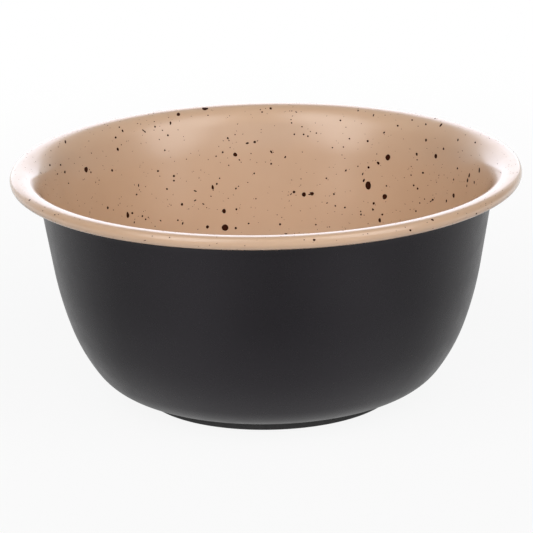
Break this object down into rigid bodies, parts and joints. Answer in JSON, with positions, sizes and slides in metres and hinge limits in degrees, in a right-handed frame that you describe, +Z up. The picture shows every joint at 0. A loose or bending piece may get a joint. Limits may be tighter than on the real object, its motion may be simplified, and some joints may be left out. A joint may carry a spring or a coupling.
{
  "type": "pet bowl",
  "caption": "Round double-walled pet bowl: a speckled beige inner bowl with a rolled rim, a matt black outer shell and a rubber non-slip foot ring.",
  "frame": {"origin": "middle of the standing face, under the foot ring", "axes": "+Z up along the axis of the bowl; the bowl is round, so X and Y are any two directions across it"},
  "size_m": [0.16, 0.16, 0.0737],
  "materials": {
    "beige_enamel": "satin, warm beige with a dark brown spatter",
    "black_coat": "matt",
    "black_rubber": "matt"
  },
  "bodies": {
    "root": {"inner_bowl": "beige_enamel", "outer_shell": "black_coat", "foot_ring": "black_rubber"}
  },
  "joints": []
}
